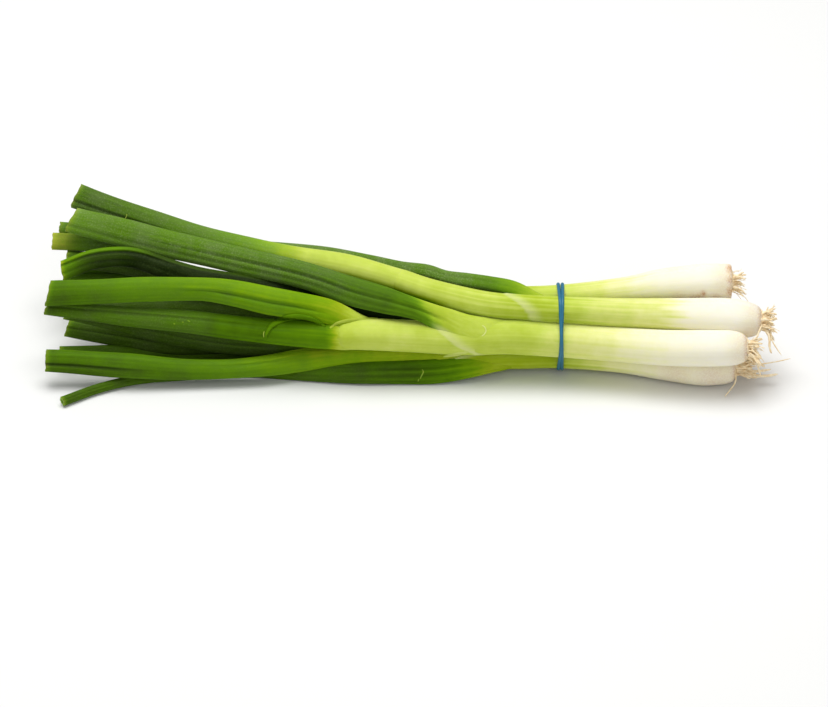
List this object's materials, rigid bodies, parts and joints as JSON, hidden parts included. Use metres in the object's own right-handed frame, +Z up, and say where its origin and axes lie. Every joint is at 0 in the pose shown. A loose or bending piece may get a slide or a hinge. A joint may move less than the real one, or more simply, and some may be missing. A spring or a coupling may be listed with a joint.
{
  "type": "spring onion bunch",
  "caption": "Bunch of spring onions lying on its side: white bulbs with dried roots at one end, cut hollow green leaves at the other, held by a double-wound rubber band.",
  "frame": {"origin": "middle of the bunch's footprint, on the table", "axes": "+X along the bunch towards the bulbs and roots, +Z up from the table"},
  "size_m": [0.3194, 0.087, 0.0573],
  "materials": {
    "shank": "satin",
    "leaf": "satin",
    "roots": "matte",
    "rubber_band": "satin"
  },
  "bodies": {
    "root": {"onion_1_shank": "shank", "onion_1_leaf_1": "leaf", "onion_1_leaf_2": "leaf", "onion_1_leaf_3": "leaf", "onion_1_roots": "roots", "onion_2_shank": "shank", "onion_2_leaf_1": "leaf", "onion_2_leaf_2": "leaf", "onion_2_roots": "roots", "onion_3_shank": "shank", "onion_3_leaf_1": "leaf", "onion_3_leaf_2": "leaf", "onion_3_leaf_3": "leaf", "onion_3_roots": "roots", "onion_4_shank": "shank", "onion_4_leaf_1": "leaf", "onion_4_leaf_2": "leaf", "onion_4_leaf_3": "leaf", "onion_4_roots": "roots", "onion_5_shank": "shank", "onion_5_leaf_1": "leaf", "onion_5_leaf_2": "leaf", "onion_5_leaf_3": "leaf", "onion_5_roots": "roots", "onion_6_shank": "shank", "onion_6_leaf_1": "leaf", "onion_6_leaf_2": "leaf", "onion_6_leaf_3": "leaf", "onion_6_roots": "roots", "rubber_band": "rubber_band"}
  },
  "joints": []
}
